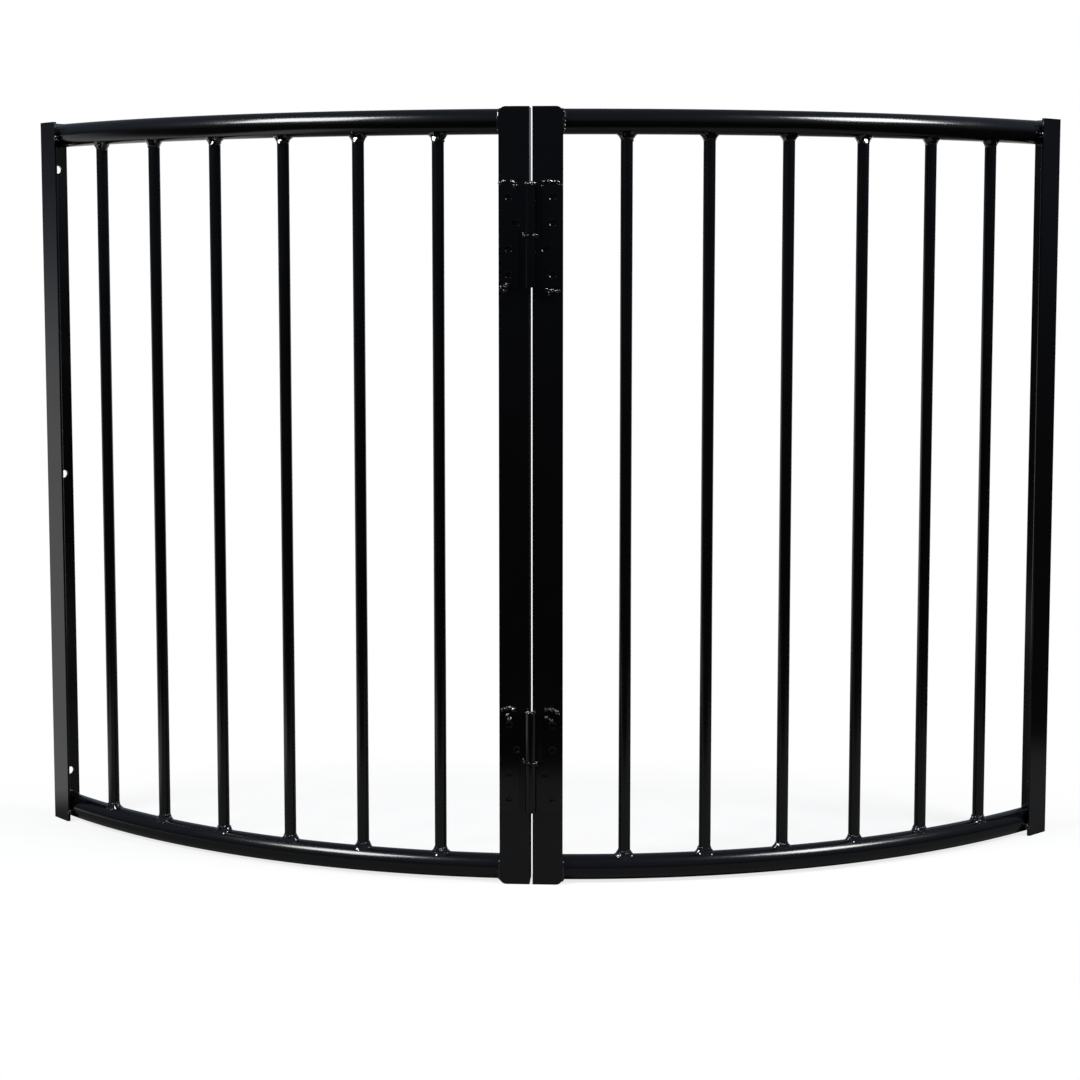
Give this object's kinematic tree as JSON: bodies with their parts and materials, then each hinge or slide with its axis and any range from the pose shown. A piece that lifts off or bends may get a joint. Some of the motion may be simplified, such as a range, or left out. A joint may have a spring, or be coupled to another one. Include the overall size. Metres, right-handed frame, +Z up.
{
  "type": "corner hay rack",
  "caption": "Quarter-round corner hay rack of steel tube, round bars and angle iron, in mirrored halves hinged down the middle, with bolt holes along both wall posts.",
  "frame": {"origin": "on the floor, at the centre of the rack's outer box, midway between its front hinge barrels and the back edges of its wall posts", "axes": "+X to the right seen from the round front, +Y from the front towards the corner of the walls, +Z up along the posts and the hinge pins"},
  "size_m": [1.0972, 0.2596, 0.77],
  "materials": {
    "black_powder_coat": "glossy black powder coat over welded steel, slight orange peel",
    "hinge_black_coat": "the same glossy black powder coat over a pressed steel hinge"
  },
  "bodies": {
    "left_half": {"left_wall_post": "black_powder_coat", "left_centre_post": "black_powder_coat", "left_top_rail": "black_powder_coat", "left_bottom_rail": "black_powder_coat", "left_bar_1": "black_powder_coat", "left_bar_2": "black_powder_coat", "left_bar_3": "black_powder_coat", "left_bar_4": "black_powder_coat", "left_bar_5": "black_powder_coat", "left_bar_6": "black_powder_coat", "upper_hinge_left_leaf": "hinge_black_coat", "upper_hinge_pin": "hinge_black_coat", "upper_hinge_washer": "hinge_black_coat", "lower_hinge_left_leaf": "hinge_black_coat", "lower_hinge_pin": "hinge_black_coat", "lower_hinge_washer": "hinge_black_coat"},
    "right_half": {"right_wall_post": "black_powder_coat", "right_centre_post": "black_powder_coat", "right_top_rail": "black_powder_coat", "right_bottom_rail": "black_powder_coat", "right_bar_1": "black_powder_coat", "right_bar_2": "black_powder_coat", "right_bar_3": "black_powder_coat", "right_bar_4": "black_powder_coat", "right_bar_5": "black_powder_coat", "right_bar_6": "black_powder_coat", "upper_hinge_right_leaf": "hinge_black_coat", "lower_hinge_right_leaf": "hinge_black_coat"}
  },
  "joints": [
    {"name": "centre_hinge", "type": "hinge", "parent": "left_half", "child": "right_half", "pos_m": [0, -0.12427, 0.385], "axis": [0, 0, -1], "range_deg": [-4.5, 180]}
  ]
}
